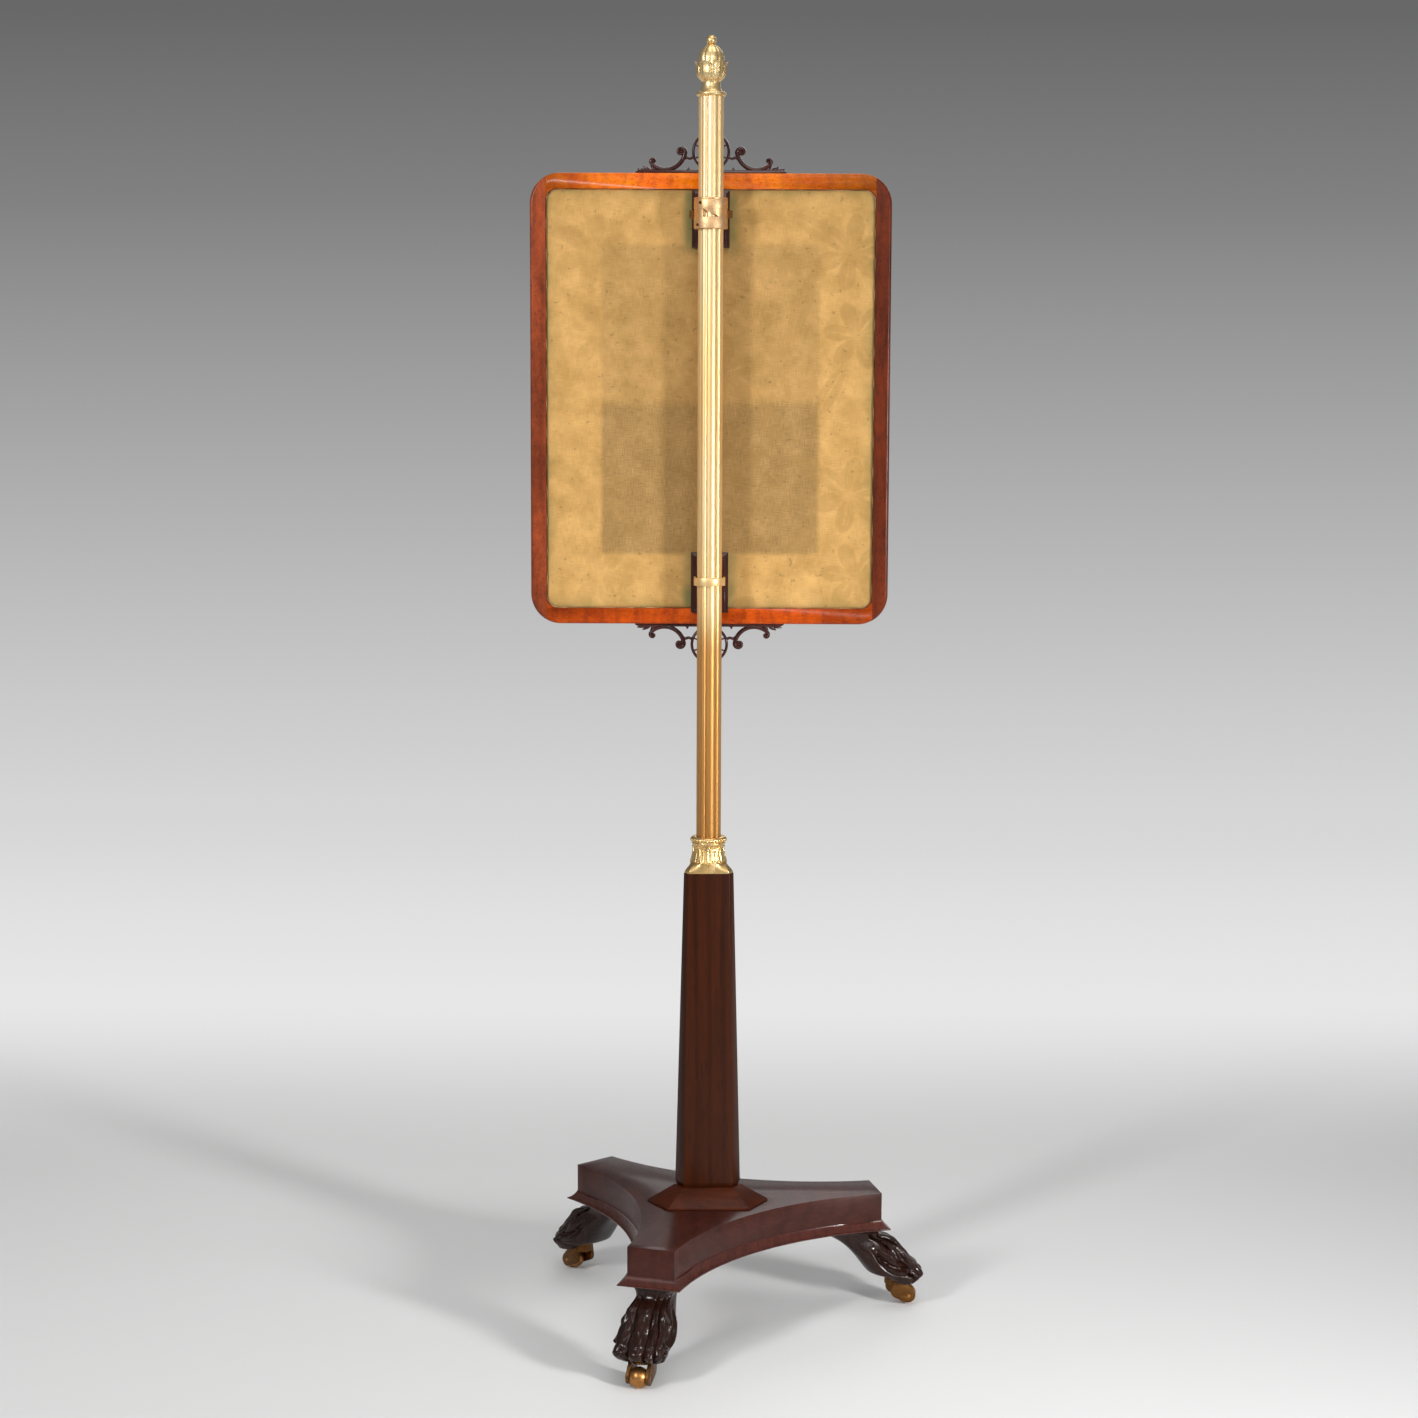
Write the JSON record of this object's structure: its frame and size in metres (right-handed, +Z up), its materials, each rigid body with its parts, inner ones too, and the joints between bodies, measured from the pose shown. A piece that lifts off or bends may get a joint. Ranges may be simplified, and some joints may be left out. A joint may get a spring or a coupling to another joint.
{
  "type": "fire screen",
  "caption": "Pole fire screen: a veneered banner sliding on a reeded brass pole, over a six-sided column and a three-armed plinth on paw feet with castors.",
  "frame": {"origin": "floor, under the middle of the overall box; the pole's axis stands 25.6 mm towards -X and 23.6 mm towards +Y", "axes": "+Z up along the pole, +X to the right and +Y towards the banner's front, seen from the banner's back"},
  "size_m": [0.4552, 0.4502, 1.4501],
  "materials": {
    "wood_dark": "gloss",
    "wood_veneer": "gloss",
    "wood_pine": "matte",
    "brass": "satin",
    "brass_dark": "satin",
    "steel": "satin",
    "linen": "matte",
    "textile": "matte"
  },
  "bodies": {
    "stand": {"platform": "wood_dark", "platform_moulding": "wood_dark", "column_skirt": "wood_dark", "column": "wood_dark", "pole_socket": "brass", "foot_front_left": "wood_dark", "foot_back_left": "wood_dark", "foot_right": "wood_dark", "foot_dowels": "wood_pine", "castor_plate_front_left": "brass_dark", "castor_plate_back_left": "brass_dark", "castor_plate_right": "brass_dark", "castor_screws": "brass_dark"},
    "pole_assembly": {"pole": "brass", "pole_spigot": "wood_pine", "finial_plug": "wood_pine", "finial_collar": "brass", "finial_cup": "brass", "finial_bud": "brass"},
    "banner": {"top_rail": "wood_veneer", "bottom_rail": "wood_veneer", "left_stile": "wood_dark", "right_stile": "wood_dark", "strainer_top": "wood_pine", "strainer_bottom": "wood_pine", "strainer_left": "wood_pine", "strainer_right": "wood_pine", "back_lining": "linen", "front_panel": "textile", "panel_pins": "steel", "crest_top": "wood_dark", "crest_bottom": "wood_dark", "crest_dowels": "wood_pine", "upper_block": "wood_dark", "lower_block": "wood_dark", "block_screws": "steel", "slide_sleeve": "brass", "sleeve_rivets": "brass_dark", "guide_band": "brass"},
    "grip": {"grip_spring": "brass"},
    "horn_front_left": {"castor_horn_front_left": "brass_dark", "castor_axle_front_left": "brass"},
    "roller_front_left": {"castor_roller_front_left": "brass"},
    "horn_back_left": {"castor_horn_back_left": "brass_dark", "castor_axle_back_left": "brass"},
    "roller_back_left": {"castor_roller_back_left": "brass"},
    "horn_right": {"castor_horn_right": "brass_dark", "castor_axle_right": "brass"},
    "roller_right": {"castor_roller_right": "brass"}
  },
  "joints": [
    {"name": "pole_turn", "type": "hinge", "parent": "stand", "child": "pole_assembly", "pos_m": [-0.0256, 0.0236, 0.5122], "axis": [0, 0, 1], "continuous": true},
    {"name": "banner_lift", "type": "slide", "parent": "pole_assembly", "child": "banner", "axis": [0, 0, 1], "range_m": [-0.25, 0.098]},
    {"name": "grip_release", "type": "slide", "parent": "banner", "child": "grip", "axis": [0, 1, 0], "range_m": [0, 0.0012], "stiffness_N_per_m": 4000, "springref_m": -0.001},
    {"name": "swivel_front_left", "type": "hinge", "parent": "stand", "child": "horn_front_left", "pos_m": [-0.09394, -0.19182, 0.0289], "axis": [0, 0, 1], "continuous": true},
    {"name": "roll_front_left", "type": "hinge", "parent": "horn_front_left", "child": "roller_front_left", "pos_m": [-0.09802, -0.20469, 0.0115], "axis": [0.9532, -0.3024, 0], "continuous": true},
    {"name": "swivel_back_left", "type": "hinge", "parent": "stand", "child": "horn_back_left", "pos_m": [-0.17799, 0.19049, 0.0289], "axis": [0, 0, 1], "continuous": true},
    {"name": "roll_back_left", "type": "hinge", "parent": "horn_back_left", "child": "roller_back_left", "pos_m": [-0.1871, 0.20046, 0.0115], "axis": [-0.7385, -0.6743, 0], "continuous": true},
    {"name": "swivel_right", "type": "hinge", "parent": "stand", "child": "horn_right", "pos_m": [0.19513, 0.07213, 0.0289], "axis": [0, 0, 1], "continuous": true},
    {"name": "roll_right", "type": "hinge", "parent": "horn_right", "child": "roller_right", "pos_m": [0.20831, 0.07503, 0.0115], "axis": [-0.2147, 0.9767, 0], "continuous": true}
  ]
}
